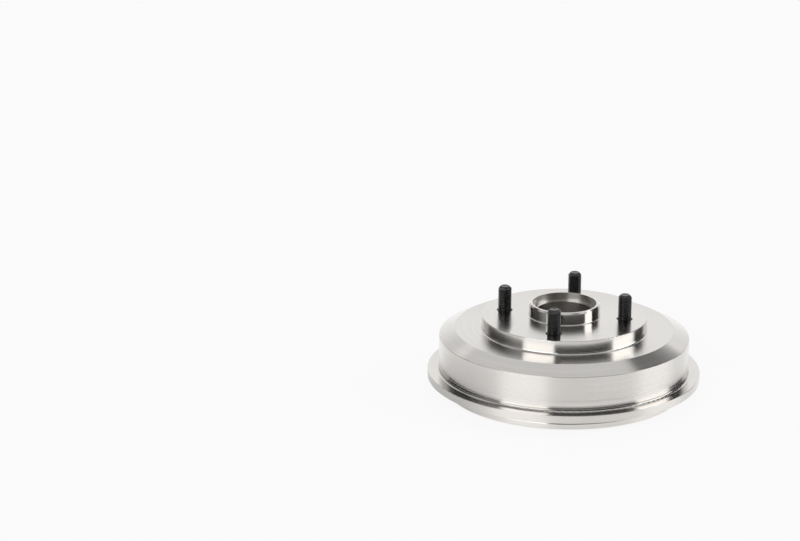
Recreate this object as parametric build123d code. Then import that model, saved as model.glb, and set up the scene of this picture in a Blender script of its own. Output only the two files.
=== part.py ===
"""Rear brake drum with its hub cast in one piece, and four pressed-in wheel studs.

Millimetres. The drum lies on its open rim: the origin is the centre of the rim
plane, and +Z runs up the axle through the hub face. Two studs lie on X, two on Y.
"""
import os
from math import cos, pi, sin

from build123d import *

# Outside of the drum, from the open rim up
shoe_track_dia = 203.0       # turned track that the brake shoes rub on
drum_wall = 9.75             # from the track to the turned outside
rim_lip_wall = 4.0           # lip that reaches into the backing plate's channel
rim_lip_height = 11.65       # rim plane to the underside of the flange
rim_lip_round = 0.8
rim_lip_land = 4.5           # height of the lip's full width, above it the lip is turned down
lip_relief_depth = 1.0
lip_relief_run = 4.0         # cone between the land and the turned-down part
flange_overhang = 10.25      # beyond the turned outside
flange_thickness = 7.0
flange_top_round = 0.4
flange_lower_chamfer = 0.3
flange_root_fillet = 1.5     # turned-down lip to the underside of the flange
wall_foot_fillet = 2.0       # drum wall to the top of the flange
face_height = 56.7           # rim plane to the ring-shaped outer face
shoulder_run = 13.85         # sloping shoulder between wall and face, on the radius
shoulder_drop = 7.1
shoulder_round = 0.4
face_round = 0.4

# Hub, outside
hub_step = 12.1              # face that the wheel bears on, above the ring-shaped face
hub_rim_wall = 6.4           # outside the pocket for the stud heads
hub_edge_round = 0.5
hub_foot_fillet = 1.8
spigot_wall = 3.3            # ring that centres the wheel, outside the cap's bore
spigot_height = 11.0
spigot_foot_fillet = 1.2
spigot_nose_chamfer = 1.4

# Bore through the hub, from the outer end down
cap_bore_dia = 56.6          # seat of the grease cap
cap_bore_depth = 7.3
bearing_seat_dia = 53.0
bearing_stop_ledge = 2.0     # shoulder that the bearing's outer ring stops against
bearing_stop_thickness = 4.0
bearing_width = 37.0
clip_groove_width = 2.1
clip_groove_depth = 1.3
clip_land = 2.6              # metal below the groove
bore_mouth_chamfer = 0.8
bore_corner_fillet = 0.5

# Inside of the drum
track_runout = 4.1           # from the end of the track to the web
track_relief = 0.8           # step from the track to the cast corner
track_lead_chamfer = 0.8
web_thickness = 8.6          # under the ring-shaped face
web_corner_fillet = 3.0
hub_web_thickness = 9.6      # under the hub face, where the stud heads sit
hub_pocket_draft = 1.0       # the pocket widens by this much to its mouth, on the radius
hub_pocket_fillet = 2.4
pocket_mouth_round = 3.0
boss_taper = 2.0             # root of the boss to its end, on the radius
boss_root_fillet = 4.0
boss_end_round = 1.5

# Wheel studs
stud_count = 4
stud_circle_dia = 108.0
stud_thread_dia = 12.0
stud_reach = 22.5            # above the hub face
stud_tip_chamfer = 2.2       # on the radius
stud_tip_length = 2.0
stud_relief_depth = 0.6      # plain neck below the thread, inside the hole
stud_relief_run = 0.5        # cone from that neck out to the thread
stud_hole_clearance = 0.5    # thread to the wall of the hole
stud_hole_chamfer = 0.3
stud_head_dia = 19.6
stud_head_thickness = 4.5
stud_head_round = 1.0
stud_head_clearance = 0.8    # head to the fillets of the pocket and the boss
serration_count = 24
serration_setback = 3.1      # end of the pressed band, below the hub face
serration_depth = 0.5
serration_clearance = 0.02   # crests to the wall of the hole

# Radii that follow from the sizes above
track = shoe_track_dia / 2
wall = track + drum_wall
flange = wall + flange_overhang
rim_lip = track + rim_lip_wall
lip_relief = rim_lip - lip_relief_depth
face_edge = wall - shoulder_run
stud_circle = stud_circle_dia / 2
stud_hole = stud_thread_dia / 2 + stud_hole_clearance
head = stud_head_dia / 2
hub_pocket = stud_circle + head + stud_head_clearance + hub_pocket_fillet
hub = hub_pocket + hub_rim_wall
boss_root = stud_circle - head - stud_head_clearance - boss_root_fillet
cap_bore = cap_bore_dia / 2
spigot = cap_bore + spigot_wall
bearing_seat = bearing_seat_dia / 2
bearing_stop = bearing_seat - bearing_stop_ledge

# Heights that follow from the sizes above
flange_top = rim_lip_height + flange_thickness
hub_height = face_height + hub_step
spigot_top = hub_height + spigot_height
cap_floor = spigot_top - cap_bore_depth
seat_top = cap_floor - bearing_stop_thickness
groove_top = seat_top - bearing_width
groove_bottom = groove_top - clip_groove_width
boss_end = groove_bottom - clip_land
pocket_floor = hub_height - hub_web_thickness
web_inside = face_height - web_thickness
track_end = web_inside - track_runout


def outer_outline():
    """Radius, height and corner rounding of each corner, from the rim to the bore."""
    return [
        (rim_lip, 0, rim_lip_round),
        (rim_lip, rim_lip_land, 0),
        (lip_relief, rim_lip_land + lip_relief_run, 0),
        (lip_relief, rim_lip_height, flange_root_fillet),
        (flange - flange_lower_chamfer, rim_lip_height, 0),
        (flange, rim_lip_height + flange_lower_chamfer, 0),
        (flange, flange_top, flange_top_round),
        (wall, flange_top, wall_foot_fillet),
        (wall, face_height - shoulder_drop, shoulder_round),
        (face_edge, face_height, face_round),
        (hub, face_height, hub_foot_fillet),
        (hub, hub_height, hub_edge_round),
        (spigot, hub_height, spigot_foot_fillet),
        (spigot, spigot_top - spigot_nose_chamfer, 0),
        (spigot - spigot_nose_chamfer, spigot_top, 0),
    ]


def bore_outline():
    """The stepped bore, from the spigot's mouth down to the end of the boss."""
    return [
        (cap_bore, spigot_top, 0),
        (cap_bore, cap_floor, bore_corner_fillet),
        (bearing_stop, cap_floor, 0),
        (bearing_stop, seat_top, 0),
        (bearing_seat, seat_top, bore_corner_fillet),
        (bearing_seat, groove_top, 0),
        (bearing_seat + clip_groove_depth, groove_top, 0),
        (bearing_seat + clip_groove_depth, groove_bottom, 0),
        (bearing_seat, groove_bottom, 0),
        (bearing_seat, boss_end + bore_mouth_chamfer, 0),
        (bearing_seat + bore_mouth_chamfer, boss_end, 0),
    ]


def inner_outline():
    """The hollow side, from the end of the boss out to the shoe track and the rim."""
    return [
        (boss_root - boss_taper, boss_end, boss_end_round),
        (boss_root, pocket_floor, boss_root_fillet),
        (hub_pocket, pocket_floor, hub_pocket_fillet),
        (hub_pocket + hub_pocket_draft, web_inside, pocket_mouth_round),
        (track + track_relief, web_inside, web_corner_fillet),
        (track + track_relief, track_end, 0),
        (track, track_end, 0),
        (track, track_lead_chamfer, 0),
        (track + track_lead_chamfer, 0, 0),
    ]


def turned(corners):
    """Solid of revolution about Z from (radius, height, rounding) corners."""
    points = [(radius, height) for radius, height, rounding in corners]
    roundings = [rounding for radius, height, rounding in corners]
    with BuildPart() as body:
        with BuildSketch(Plane.XZ):
            with BuildLine():
                FilletPolyline(*points, radius=roundings, close=True)
            make_face()
        revolve(axis=Axis.Z)
    return body.part


def hole_cutter():
    """Cutter for one stud hole, with its broken edge at the hub face."""
    past = hub_web_thickness / 2
    mouth = stud_hole + stud_hole_chamfer
    return turned([
        (0, pocket_floor - past, 0),
        (stud_hole, pocket_floor - past, 0),
        (stud_hole, hub_height - stud_hole_chamfer, 0),
        (mouth, hub_height, 0),
        (mouth, hub_height + past, 0),
        (0, hub_height + past, 0),
    ])


def brake_drum():
    """The casting: one turned section with the ring of stud holes."""
    drum = turned(outer_outline() + bore_outline() + inner_outline())
    for place in PolarLocations(stud_circle, stud_count):
        drum -= place * hole_cutter()
    return drum


def serrations(crest, root, band_top):
    """The pressed band of a stud, standing on the head's upper face."""
    half_step = pi / serration_count
    corners = []
    for tooth in range(serration_count):
        for radius, angle in ((crest, 2 * tooth * half_step), (root, (2 * tooth + 1) * half_step)):
            corners.append((radius * cos(angle), radius * sin(angle)))
    with BuildPart() as band:
        with BuildSketch(Plane.XY.offset(pocket_floor)):
            with BuildLine():
                Polyline(*corners, close=True)
            make_face()
        extrude(amount=band_top - pocket_floor)
    return band.part


def wheel_stud():
    """One stud on the Z axis: head in the pocket, pressed band, neck, thread and tip."""
    thread = stud_thread_dia / 2
    neck = thread - stud_relief_depth
    crest = stud_hole - serration_clearance
    root = crest - serration_depth
    band_top = hub_height - serration_setback
    tip = hub_height + stud_reach
    shank = turned([
        (0, pocket_floor - stud_head_thickness, 0),
        (head, pocket_floor - stud_head_thickness, stud_head_round),
        (head, pocket_floor, 0),
        (root, pocket_floor, 0),
        (root, band_top, 0),
        (neck, band_top + root - neck, 0),
        (neck, hub_height - stud_relief_run, 0),
        (thread, hub_height, 0),
        (thread, tip - stud_tip_length, 0),
        (thread - stud_tip_chamfer, tip, 0),
        (0, tip, 0),
    ])
    return shank + serrations(crest, root, band_top)


def save(shape, node):
    """Writes one node to its own STEP file."""
    shape.label = node
    export_step(shape, f"parts/{node}.step")
    print(node, "volume", round(shape.volume / 1000, 2), "cm3")


os.makedirs("parts", exist_ok=True)
save(brake_drum(), "brake_drum")
stud = wheel_stud()
for number, place in enumerate(PolarLocations(stud_circle, stud_count), start=1):
    save(place * stud, f"wheel_stud_{number}")
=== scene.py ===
from math import cos, pi, radians, sin

import bmesh
import bpy
from mathutils import Matrix, Vector


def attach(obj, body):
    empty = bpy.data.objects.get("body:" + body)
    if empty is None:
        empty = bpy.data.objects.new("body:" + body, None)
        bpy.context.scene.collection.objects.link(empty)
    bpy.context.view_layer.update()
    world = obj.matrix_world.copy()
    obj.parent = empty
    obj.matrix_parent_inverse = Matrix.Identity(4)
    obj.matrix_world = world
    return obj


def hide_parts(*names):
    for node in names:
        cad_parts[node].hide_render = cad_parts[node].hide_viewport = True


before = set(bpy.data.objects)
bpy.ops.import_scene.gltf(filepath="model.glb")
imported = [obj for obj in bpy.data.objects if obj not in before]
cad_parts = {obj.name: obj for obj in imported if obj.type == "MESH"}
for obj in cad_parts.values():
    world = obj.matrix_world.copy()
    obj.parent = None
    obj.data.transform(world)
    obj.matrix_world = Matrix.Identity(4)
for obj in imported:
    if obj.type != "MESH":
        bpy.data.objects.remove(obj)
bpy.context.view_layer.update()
mm = 0.001
print("frame loaded:", sorted(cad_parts))


def inMm(*lengths):
    return tuple(length * mm for length in lengths)


# Shader maths written as Python expressions
class Wire:
    def __init__(self, net, socket):
        self.net = net
        self.socket = socket

    def math(self, operation, *others):
        values = dict(enumerate((self,) + others))
        return self.net.add("ShaderNodeMath", {"operation": operation}, values)

    def __add__(self, other):
        return self.math("ADD", other)

    def __sub__(self, other):
        return self.math("SUBTRACT", other)

    def __mul__(self, other):
        return self.math("MULTIPLY", other)

    def __rsub__(self, other):
        return self.net.add("ShaderNodeMath", {"operation": "SUBTRACT"}, {0: other, 1: self})

    __radd__ = __add__
    __rmul__ = __mul__

    def ramp(self, low, high):  # 0 below low, 1 above high, smooth between
        sockets = {"Value": self, "From Min": low, "From Max": high}
        return self.net.add("ShaderNodeMapRange", {"interpolation_type": "SMOOTHSTEP"}, sockets)


class Net:
    def __init__(self, tree):
        self.tree = tree
        tree.nodes.clear()

    def add(self, kind, settings=None, sockets=None, out=0):
        node = self.tree.nodes.new(kind)
        for name, value in (settings or {}).items():
            setattr(node, name, value)
        for name, value in (sockets or {}).items():
            if isinstance(value, Wire):
                self.tree.links.new(value.socket, node.inputs[name])
            else:
                node.inputs[name].default_value = value
        return Wire(self, node.outputs[out]) if len(node.outputs) else node

    def spot(self):  # place on the object
        return self.add("ShaderNodeTexCoord", out=3)

    def split(self, vector):
        first = self.add("ShaderNodeSeparateXYZ", sockets={0: vector})
        return [Wire(self, socket) for socket in first.socket.node.outputs]

    def join(self, x, y, z):
        return self.add("ShaderNodeCombineXYZ", sockets={0: x, 1: y, 2: z})

    def blend(self, share, first, second):  # colours
        sockets = {0: share, 6: first, 7: second}
        return self.add("ShaderNodeMix", {"data_type": "RGBA"}, sockets, out=2)

    def noise(self, vector, scale, detail=2.0, roughness=0.5):
        sockets = {"Vector": vector, "Scale": scale, "Detail": detail, "Roughness": roughness}
        return self.add("ShaderNodeTexNoise", {"noise_dimensions": "3D"}, sockets)

    def bump(self, height):
        sockets = {"Strength": 1.0, "Distance": 1.0, "Height": height}
        return self.add("ShaderNodeBump", sockets=sockets)


def newMaterial(name):
    material = bpy.data.materials.new(name)
    material.use_nodes = True
    return material, Net(material.node_tree)


def finishMaterial(net, shader):
    net.add("ShaderNodeOutputMaterial", sockets={"Surface": shader})


def grey(level):
    return (level, level, level, 1.0)


def band(wire, low, high, soft=0.1 * mm, highSoft=None):  # 1 from low to high, with soft ends
    highSoft = highSoft or soft
    return wire.ramp(low - soft, low + soft) * (1 - wire.ramp(high - highSoft, high + highSoft))


# Turned iron of the drum, bright outside and left as cast in the hollow
turnedLook = {
    "metal": (0.735, 0.714, 0.688, 1.0),
    "metalDull": (0.695, 0.674, 0.645, 1.0),
    "marksInDull": 0.7,
    "wanderInDull": 0.5,
    "dullFrom": (0.35, 0.85),
    "roughness": 0.21,
    "streaks": 0.06,                # how far the roughness varies from mark to mark
    "wander": 0.03,                 # and from place to place
    "anisotropy": 0.85,
    "grooveTurn": 0.25,             # a quarter turn, so the grooves run round the axis
    "slant": 1.37,                  # height counts for more than radius along the profile
    "fineMarks": 5200.0,            # per metre along the profile
    "fineDrift": 0.00004,           # how fast a mark changes on its way round
    "fineDepth": 0.00036 * mm,
    "broadMarks": 900.0,
    "broadDrift": 0.0006,
    "broadShift": 0.3,
    "broadDepth": 0.00012 * mm,
    "wanderMarks": 22.0,
    "cast": (0.170, 0.163, 0.155, 1.0),
    "castDark": (0.110, 0.105, 0.098, 1.0),
    "castDarkFrom": (0.3, 0.7),
    "castBlotches": 60.0,
    "castRoughness": 0.62,
    "castSpread": 0.2,
    "castMetallic": 0.25,
    "castSand": 1400.0,
    "castGrain": 0.05 * mm,
    "wallFade": inMm(23.4, 28.0),           # heights over which the wall's cut fades to the foot's
    "wallLine": inMm(22.2, 23.3, 0.4),      # line where the tool stopped
    "footShade": 0.38,                      # painted shade: how much darker the metal is made at the wall's foot
    "footShadeRadii": inMm(110.6, 112.2, 0.3),
    "footShadeHeights": inMm(19.5, 21.2, 0.3),
    "studShade": 0.88,                      # painted shade, darker still in a ring round each stud where it comes out of the hub face
    "studShadeReach": inMm(7.0, 7.4),
    "studShadeAbove": inMm(68.0, 68.3),
}

# The lathe's cuts that are finer or coarser than the plain faces
turnedCuts = {
    "hubWall": {"radii": inMm(72.0, 73.6), "roughness": 0.15},
    "hubFoot": {"radii": inMm(73.6, 75.3), "roughness": 0.24},
    "hubFace": {"radii": inMm(32.9, 72.0), "above": inMm(68.4, 68.6), "roughness": 0.17},
    "spigotWall": {"radii": inMm(28.6, 31.7), "roughness": 0.15},
    "spigotFoot": {"radii": inMm(31.7, 32.9), "roughness": 0.24},
    "capBore": {"radii": inMm(28.15, 28.45, 0.05), "above": inMm(72.3, 72.6), "roughness": 0.31},
    "ledge": {"radii": inMm(24.0, 28.1), "above": inMm(72.3, 72.4), "roughness": 0.30},
    "shoulder": {"radii": inMm(97.6, 110.5), "roughness": 0.19},
    "drumWall": {"radii": inMm(110.6, 112.4), "roughness": 0.28},
    "foot": {
        "radii": inMm(110.6, 121.2),
        "above": inMm(18.0, 18.4),
        "below": inMm(28.0, 28.4),
        "roughness": 0.15,
    },
    "flangeSide": {"radii": inMm(121.2, 123.0), "roughness": 0.26},
    "shoeTrack": {"radii": inMm(101.2, 101.62), "below": inMm(43.95, 44.05), "roughness": 0.36},
}

# Where the casting is left unturned
castParts = {
    "pocket": {"radii": inMm(29.0, 70.6), "below": inMm(59.6, 59.7)},
    "drum": {"radii": inMm(70.6, 102.6), "below": inMm(48.6, 48.7)},
    "aboveRim": inMm(0.8, 2.0),
}


def onCut(cut, radius, height):
    mask = band(radius, *cut["radii"])
    if "above" in cut:
        mask = mask * height.ramp(*cut["above"])
    if "below" in cut:
        mask = mask * (1 - height.ramp(*cut["below"]))
    return mask


def turnedIron():
    look = turnedLook
    material, net = newMaterial("turnedIron")
    spot = net.spot()
    x, y, z = net.split(spot)
    radius = (x * x + y * y).math("SQRT")
    angle = y.math("ARCTAN2", x)

    # Tool marks run round the axis, so they change along the profile and hardly with the angle
    along = radius + z * look["slant"]
    fineSpot = net.join(along, angle * look["fineDrift"], 0.0)
    fine = net.noise(fineSpot, look["fineMarks"], 1.0)
    broadSpot = net.join(along, angle * look["broadDrift"], look["broadShift"])
    broad = net.noise(broadSpot, look["broadMarks"])
    wander = net.noise(spot, look["wanderMarks"])
    sand = net.noise(spot, look["castSand"], 3.0, 0.6)
    blotch = net.noise(spot, look["castBlotches"], 3.0)

    cuts = {name: onCut(cut, radius, z) for name, cut in turnedCuts.items()}
    wallCut = z.ramp(*look["wallFade"]).math("MAXIMUM", band(z, *look["wallLine"]))
    cuts["drumWall"] = cuts["drumWall"] * wallCut
    cuts["foot"] = cuts["foot"] * (1 - cuts["drumWall"])
    inPocket = onCut(castParts["pocket"], radius, z)
    inDrum = onCut(castParts["drum"], radius, z)
    cast = inPocket.math("MAXIMUM", inDrum) * (1 - cuts["shoeTrack"])
    cast = cast * z.ramp(*castParts["aboveRim"])

    # The distance from the nearest stud's axis: the studs stand on X and Y
    longer = x.math("ABSOLUTE").math("MAXIMUM", y.math("ABSOLUTE")) - studSizes["circle"]
    shorter = x.math("ABSOLUTE").math("MINIMUM", y.math("ABSOLUTE"))
    fromStud = (longer * longer + shorter * shorter).math("SQRT")
    # Painted shade: the metal is darkened towards black round each stud where it comes out of the
    # hub face
    atStud = (1 - fromStud.ramp(*look["studShadeReach"])) * z.ramp(*look["studShadeAbove"])
    # Painted shade along the foot of the drum wall, in its corner with the flange
    atFoot = band(radius, *look["footShadeRadii"]) * band(z, *look["footShadeHeights"])
    paintedShade = atFoot * look["footShade"] + atStud * look["studShade"]

    dull = (broad * look["marksInDull"] + wander * look["wanderInDull"]).ramp(*look["dullFrom"])
    metal = net.blend(dull, look["metal"], look["metalDull"])
    metal = net.blend(paintedShade, metal, grey(0.0))
    casting = net.blend(blotch.ramp(*look["castDarkFrom"]), look["cast"], look["castDark"])

    shine = look["roughness"] + (broad - 0.5) * look["streaks"] + (wander - 0.5) * look["wander"]
    for name, cut in turnedCuts.items():
        shine = shine + cuts[name] * (cut["roughness"] - look["roughness"])
    castShine = look["castRoughness"] + (sand - 0.5) * look["castSpread"]
    marks = fine * look["fineDepth"] + broad * look["broadDepth"]
    shader = net.add("ShaderNodeBsdfPrincipled", sockets={
        "Base Color": net.blend(cast, metal, casting),
        "Metallic": 1 - cast * (1 - look["castMetallic"]),
        "Roughness": shine * (1 - cast) + castShine * cast,
        "Normal": net.bump(marks * (1 - cast) + sand * look["castGrain"] * cast),
        "Anisotropic": look["anisotropy"],
        "Anisotropic Rotation": look["grooveTurn"],
    })
    finishMaterial(net, shader)
    return material


# Black phosphate of the wheel studs
phosphateLook = {
    "coat": (0.018, 0.0170, 0.0172, 1.0),
    "coatWorn": (0.040, 0.037, 0.036, 1.0),
    "crystalsInWear": 0.6,
    "cloudsInWear": 0.6,
    "wornFrom": (0.55, 0.85),
    "roughness": 0.25,
    "roughnessSpread": 0.12,
    "gloss": 1.65,              # refractive index of the oiled coat
    "crystals": 3800.0,
    "clouds": 210.0,
    "grain": 0.005 * mm,
}


def phosphate():
    look = phosphateLook
    material, net = newMaterial("blackPhosphate")
    spot = net.spot()
    crystals = net.noise(spot, look["crystals"], 2.0, 0.6)
    cloud = net.noise(spot, look["clouds"], 3.0)
    wear = crystals * look["crystalsInWear"] + cloud * look["cloudsInWear"]
    worn = wear.ramp(*look["wornFrom"])
    shader = net.add("ShaderNodeBsdfPrincipled", sockets={
        "Base Color": net.blend(worn, look["coat"], look["coatWorn"]),
        "Metallic": 0.0,
        "Roughness": look["roughness"] + (cloud - 0.5) * look["roughnessSpread"],
        "IOR": look["gloss"],
        "Normal": net.bump(crystals * look["grain"]),
    })
    finishMaterial(net, shader)
    return material


# Wheel stud, M12 with a rolled thread of 1.5 mm pitch
studSizes = {
    "circle": 54.0 * mm,            # radius of the ring of studs
    "headBottom": 54.7 * mm,
    "headTop": 59.2 * mm,
    "headRadius": 9.8 * mm,
    "headRound": 1.0 * mm,
    "coreRadius": 5.93 * mm,        # just inside the serrations
    "bandTop": 65.7 * mm,
    "bandCrest": 6.48 * mm,
    "bandRoot": 5.98 * mm,
    "bandTeeth": 24,
    "neckRadius": 5.4 * mm,
    "neckTop": 68.3 * mm,
    "pegRadius": 4.98 * mm,         # end of the shank, hidden in the thread
    "pegTop": 68.7 * mm,
    "threadStart": 68.4 * mm,
    "leadRadius": 5.3 * mm,
    "crest": 6.0 * mm,
    "root": 5.08 * mm,
    "pitch": 1.5 * mm,
    "tooth": (0.39, 0.53, 0.92),    # crest from and to, and the next root, in pitches
    "tip": 91.3 * mm,
    "tipRadius": 3.8 * mm,
    "tipLength": 2.0 * mm,
    "dish": (inMm(3.35, 0.0), inMm(2.3, 0.30), inMm(1.1, 0.14)),    # radius, drop from the last
    "sides": 64,
    "merge": 0.002 * mm,
    "sharpAngle": 32,
}


def spinLine(mesh, points, size, rise=0.0):
    # A line of (radius, height) points goes once round Z, and rises by this much on its way
    line = [mesh.verts.new((r, 0.0, z)) for r, z in points]
    edges = [mesh.edges.new(pair) for pair in zip(line, line[1:])]
    bmesh.ops.spin(mesh, geom=line + edges, cent=(0, 0, 0), axis=(0, 0, 1), angle=2 * pi,
                   dvec=(0, 0, rise / size["sides"]), steps=size["sides"], use_merge=not rise)
    bmesh.ops.remove_doubles(mesh, verts=mesh.verts, dist=size["merge"])


def threadTube(size):
    # A zigzag line rises by one pitch on its way round, so each tooth runs into the next
    mesh = bmesh.new()
    pitch, crest, root = size["pitch"], size["crest"], size["root"]
    crestFrom, crestTo, nextRoot = size["tooth"]
    points = []
    height = size["threadStart"] - 2 * pitch
    while height < size["tip"] + 2 * pitch:
        points += [
            (root, height),
            (crest, height + pitch * crestFrom),
            (crest, height + pitch * crestTo),
            (root, height + pitch * nextRoot),
        ]
        height += pitch
    spinLine(mesh, points, size, rise=pitch)
    # Both ends are cut square, then pressed in under a cone: the lead and the chamfered tip
    for height, outward in ((size["threadStart"], -1), (size["tip"], 1)):
        everything = mesh.verts[:] + mesh.edges[:] + mesh.faces[:]
        cut = bmesh.ops.bisect_plane(mesh, geom=everything, plane_co=(0, 0, height),
                                     plane_no=(0, 0, outward), clear_outer=True,
                                     dist=size["merge"] / 4)
        rim = [item for item in cut["geom_cut"] if isinstance(item, bmesh.types.BMEdge)]
        bmesh.ops.contextual_create(mesh, geom=rim)
    tipSlope = (crest - size["tipRadius"]) / size["tipLength"]
    for vert in mesh.verts:
        reach = min(
            size["tipRadius"] + (size["tip"] - vert.co.z) * tipSlope,
            size["leadRadius"] + vert.co.z - size["threadStart"],
        )
        flat = Vector((vert.co.x, vert.co.y))
        if flat.length > reach:
            vert.co.x, vert.co.y = flat.normalized() * reach
    # The end face is slightly dished
    end = max(mesh.faces, key=lambda face: face.calc_center_median().z)
    last = size["tipRadius"]
    for radius, drop in size["dish"]:
        grown = bmesh.ops.extrude_face_region(mesh, geom=[end] + list(end.edges))
        end = [item for item in grown["geom"] if isinstance(item, bmesh.types.BMFace)][0]
        bmesh.ops.scale(mesh, vec=(radius / last, radius / last, 1), verts=end.verts)
        bmesh.ops.translate(mesh, vec=(0, 0, -drop), verts=end.verts)
        last = radius
    bmesh.ops.recalc_face_normals(mesh, faces=mesh.faces)
    return mesh


def studShank(size):
    mesh = bmesh.new()
    bottom, rounding, core = size["headBottom"], size["headRound"], size["coreRadius"]
    inner = size["headRadius"] - rounding
    points = [(0.0, bottom)]
    for angle in (0, 22.5, 45, 67.5, 90):       # the head's rounded edge
        turn = radians(angle)
        points.append((inner + rounding * sin(turn), bottom + rounding * (1 - cos(turn))))
    points += [
        (size["headRadius"], size["headTop"]),
        (core, size["headTop"]),
        (core, size["bandTop"]),
        (size["neckRadius"], size["bandTop"] + core - size["neckRadius"]),
        (size["neckRadius"], size["neckTop"]),
        (size["pegRadius"], size["pegTop"]),
        (0.0, size["pegTop"]),
    ]
    spinLine(mesh, points, size)
    bmesh.ops.recalc_face_normals(mesh, faces=mesh.faces)
    return mesh


def serratedBand(size):
    mesh = bmesh.new()
    teeth, crest = size["bandTeeth"], size["bandCrest"]
    ring = bmesh.ops.create_circle(mesh, cap_ends=False, segments=2 * teeth, radius=crest)
    shrink = size["bandRoot"] / crest
    bmesh.ops.scale(mesh, vec=(shrink, shrink, 1), verts=ring["verts"][1::2])
    grown = bmesh.ops.extrude_edge_only(mesh, edges=mesh.edges[:])
    lifted = [item for item in grown["geom"] if isinstance(item, bmesh.types.BMVert)]
    bmesh.ops.translate(mesh, vec=(0, 0, size["bandTop"] - size["headTop"]), verts=lifted)
    bmesh.ops.holes_fill(mesh, edges=mesh.edges[:], sides=0)
    bmesh.ops.translate(mesh, vec=(0, 0, size["headTop"]), verts=mesh.verts)
    bmesh.ops.recalc_face_normals(mesh, faces=mesh.faces)
    return mesh


def toMesh(part, name):
    data = bpy.data.meshes.new(name)
    part.to_mesh(data)
    part.free()
    return data


def wheelStud(number, material):
    size = studSizes
    whole = bmesh.new()
    for part in (studShank(size), serratedBand(size), threadTube(size)):
        data = toMesh(part, "studPart")
        whole.from_mesh(data)
        bpy.data.meshes.remove(data)
    for face in whole.faces:
        face.smooth = True
    turn = Matrix.Rotation((number - 1) * pi / 2, 4, "Z")
    whole.transform(turn @ Matrix.Translation((size["circle"], 0, 0)))
    data = toMesh(whole, f"stud_{number}")
    data.set_sharp_from_angle(angle=radians(size["sharpAngle"]))
    data.materials.append(material)
    piece = bpy.data.objects.new(f"stud_{number}", data)
    bpy.context.scene.collection.objects.link(piece)
    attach(piece, "root")
    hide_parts(f"wheel_stud_{number}")


ironMaterial = turnedIron()
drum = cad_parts["brake_drum"]
drum.data.materials.clear()
drum.data.materials.append(ironMaterial)
print("drum dressed in turned iron")

phosphateMaterial = phosphate()
for number in range(1, 5):
    wheelStud(number, phosphateMaterial)
print("four threaded studs made")


# Studio round the drum: white behind and overhead, black flags at the sides and in front, and
# two soft boxes. Each panel lies over those before it. Turns are in degrees from the camera, right
# positive, as seen from the drum, and heights are in degrees above the floor.
studio = {
    "front": 9.37,              # which way the camera stands, from -Y towards +X
    "white": 1.0,
    "panels": {     # turns, heights, level, softness of the left, right and level edges
        "leftBack": ((-152, -126), (-400, 33), 0.54, (13, 3, 6)),
        "rightBack": ((138, 160), (-400, 22), 0.85, (6, 8, 6)),
        "ceiling": ((-400, 400), (40, 400), 0.75, (1, 1, 2)),
        "flags": ((-131, 144), (-400, 41), 0.04, (3, 5, 4)),
        "frontFlag": ((-90, 75), (-400, 66), 0.07, (30, 10, 8)),
        "tallFlag": ((97, 150), (26, 55), 0.04, (5, 2, 1.5)),
        "spill": ((-80, -40), (0, 46), 0.32, (18, 5, 6)),
        "leftBox": ((-58, -13), (3, 46), 2.1, (2, 2, 4)),
        "rightBox": ((72, 114), (3, 46), 2.1, (2, 2, 4)),
    },
}


def turnFromCamera(x, y):
    return x.math("ARCTAN2", y * -1) * (180 / pi) - studio["front"]


def makeStudio():
    world = bpy.data.worlds.new("studio")
    bpy.context.scene.world = world
    world.use_nodes = True
    net = Net(world.node_tree)
    x, y, z = net.split(net.add("ShaderNodeTexCoord"))
    turn = turnFromCamera(x, y)
    height = z.math("ARCSINE") * (180 / pi)
    level = studio["white"]
    for turns, heights, panelLevel, (leftSoft, rightSoft, edgeSoft) in studio["panels"].values():
        mask = band(turn, *turns, leftSoft, rightSoft) * band(height, *heights, edgeSoft)
        level = level * (1 - mask) + mask * panelLevel
    cameraRay = net.add("ShaderNodeLightPath")
    level = level * (1 - cameraRay) + cameraRay * studio["white"]
    shade = net.add("ShaderNodeBackground", sockets={"Color": grey(1.0), "Strength": level})
    net.add("ShaderNodeOutputWorld", sockets={"Surface": shade})


# Floor: a lit white sheet with a faint sheen, which keeps the drum's soft shadow
floorLook = {
    "radius": 14.0,
    "sides": 96,
    "colour": 0.96,
    "white": 1.0,
    "glowShare": 0.9,
    "mirrored": (0.94, 1.0),        # what reflections see of it, near the drum and further out; the dimmer level near the drum is painted shade
    "mirroredReach": (0.125, 0.210),
    "sheen": 0.13,
    "sheenRoughness": 0.38,
    "drumRadius": (0.100, 0.1075),
    "underDrum": 0.10,
    "shadePatchTurns": (-105, -45, 14),       # darker patch of floor beside the drum, painted shade which only reflections show
    "shadePatchReach": (0.060, 0.190, 0.06),
    "shadePatchLevel": 0.62,
}


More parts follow.
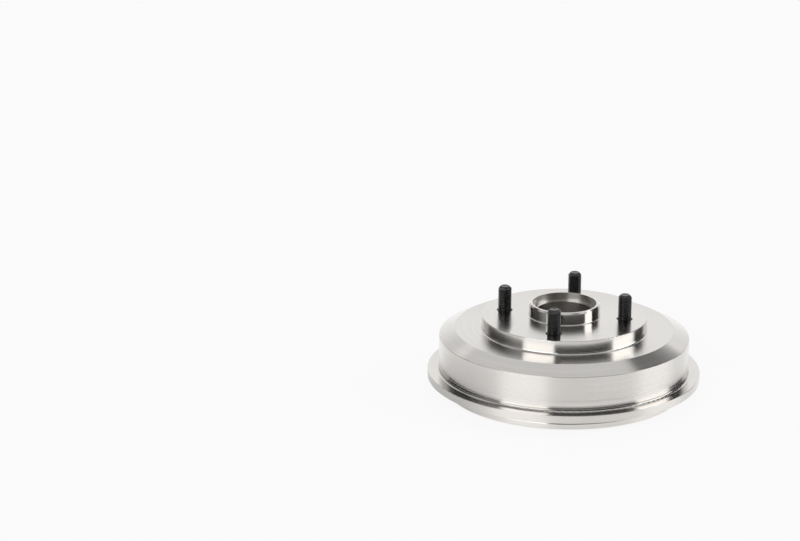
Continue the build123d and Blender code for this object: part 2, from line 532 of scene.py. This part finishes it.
def makeFloor():
    look = floorLook
    mesh = bmesh.new()
    bmesh.ops.create_circle(mesh, cap_ends=True, segments=look["sides"], radius=look["radius"])
    data = toMesh(mesh, "floor")
    floor = bpy.data.objects.new("floor", data)
    bpy.context.scene.collection.objects.link(floor)
    material, net = newMaterial("paleFloor")
    cameraRay = net.add("ShaderNodeLightPath")
    glossyRay = net.add("ShaderNodeLightPath", out=3)
    throughRay = net.add("ShaderNodeLightPath", out=6)
    seen = (cameraRay + glossyRay + throughRay).math("MINIMUM", 1.0)
    x, y, z = net.split(net.spot())
    radius = (x * x + y * y).math("SQRT")
    inShadePatch = band(turnFromCamera(x, y), *look["shadePatchTurns"]) * band(radius, *look["shadePatchReach"])
    underDrum = look["underDrum"]
    clear = radius.ramp(*look["drumRadius"]) * (1 - underDrum) + underDrum
    # Painted shade: reflections see the floor dimmer near the drum
    near, far = look["mirrored"]
    mirrored = near + radius.ramp(*look["mirroredReach"]) * (far - near)
    # Painted shade: reflections see a darker patch of floor beside the drum
    mirrored = mirrored * (1 - inShadePatch * glossyRay * (1 - look["shadePatchLevel"]))
    white = grey(look["white"])
    shade = net.blend(glossyRay, white, net.blend(mirrored, grey(0.0), white))
    matt = net.add("ShaderNodeBsdfDiffuse", sockets={"Color": grey(look["colour"])})
    glow = net.add("ShaderNodeEmission", sockets={"Color": shade, "Strength": 1.0})
    share = clear * seen * look["glowShare"]
    plain = net.add("ShaderNodeMixShader", sockets={0: share, 1: matt, 2: glow})
    sheen = {"Color": grey(look["sheen"]), "Roughness": look["sheenRoughness"]}
    gloss = net.add("ShaderNodeBsdfAnisotropic", sockets=sheen)
    glossy = net.add("ShaderNodeAddShader", sockets={0: plain, 1: gloss})
    finishMaterial(net, net.add("ShaderNodeMixShader", sockets={0: glossyRay, 1: plain, 2: glossy}))
    data.materials.append(material)


cameraView = {
    "place": (0.3301, -2.0003, 0.7552),
    "turn": (72.292, 0.0, 13.506),
    "lens": 107.955,
    "sensor": 36.0,
}


def makeCamera():
    data = bpy.data.cameras.new("camera")
    data.lens = cameraView["lens"]
    data.sensor_width = cameraView["sensor"]
    camera = bpy.data.objects.new("camera", data)
    camera.location = cameraView["place"]
    camera.rotation_euler = [radians(angle) for angle in cameraView["turn"]]
    bpy.context.scene.collection.objects.link(camera)
    bpy.context.scene.camera = camera


makeStudio()
makeFloor()
makeCamera()
bpy.context.scene.view_settings.view_transform = "Standard"
print("floor, studio and camera set")
